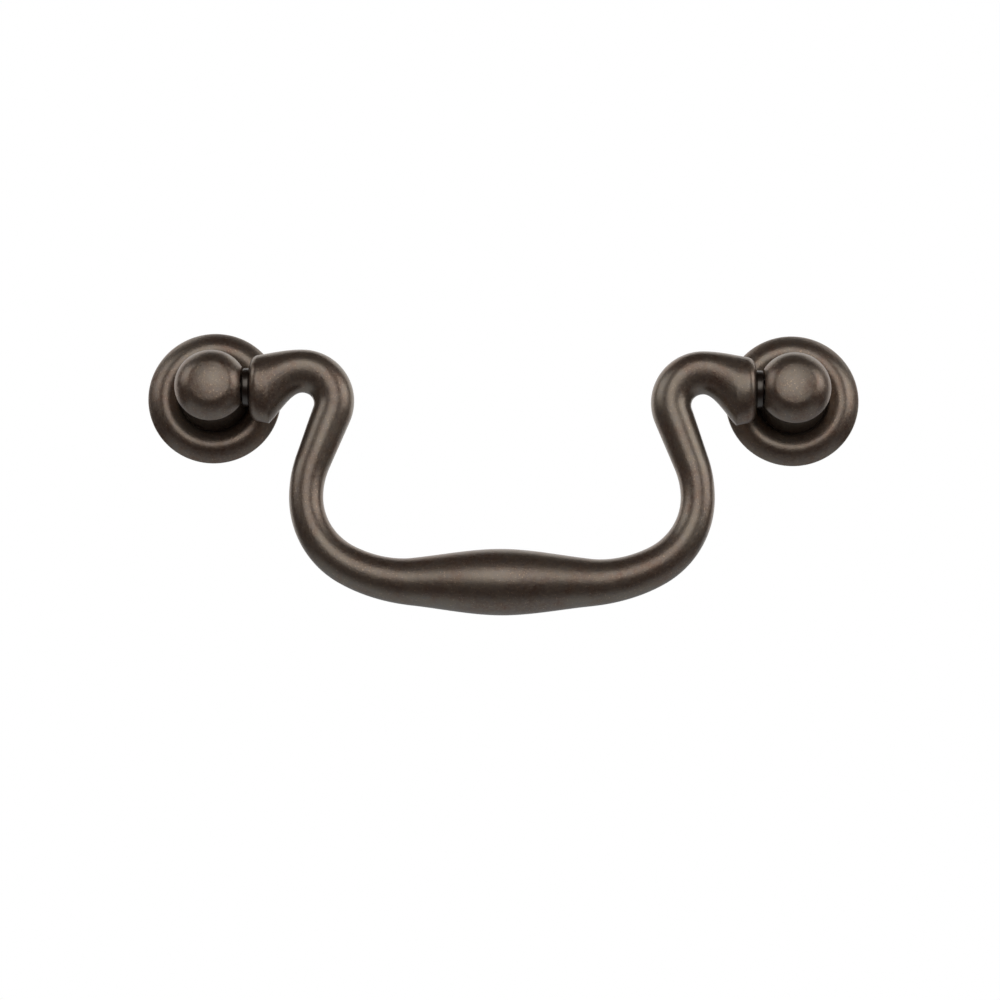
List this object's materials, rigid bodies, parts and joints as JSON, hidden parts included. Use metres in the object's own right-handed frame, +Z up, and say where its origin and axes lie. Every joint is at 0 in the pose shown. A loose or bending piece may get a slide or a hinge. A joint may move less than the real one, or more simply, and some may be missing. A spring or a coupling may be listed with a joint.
{
  "type": "bail pull",
  "caption": "Swinging bail pull for a drawer: a swan-necked bar with a swelling grip hangs between two domed posts on ring rosettes.",
  "frame": {"origin": "midway between the two screw holes, on the drawer front", "axes": "+X along the pull from the left post to the right one, +Z up with the bail hanging down, -Y out of the drawer front"},
  "size_m": [0.1182, 0.0139, 0.049],
  "materials": {
    "bail_bronze": "satin dark antique bronze, rubbed lighter on the crests",
    "post_bronze": "satin dark antique bronze",
    "rosette_bronze": "satin dark antique bronze",
    "pin_steel": "plain turned steel"
  },
  "bodies": {
    "posts": {"post_left": "post_bronze", "post_right": "post_bronze", "rosette_left": "rosette_bronze", "rosette_right": "rosette_bronze"},
    "bail": {"bail": "bail_bronze", "pivot_pin_left": "pin_steel", "pivot_pin_right": "pin_steel"}
  },
  "joints": [
    {"name": "bail_swing", "type": "hinge", "parent": "posts", "child": "bail", "pos_m": [0, -0.0085, 0], "axis": [-1, 0, 0], "range_deg": [-5, 185]}
  ]
}
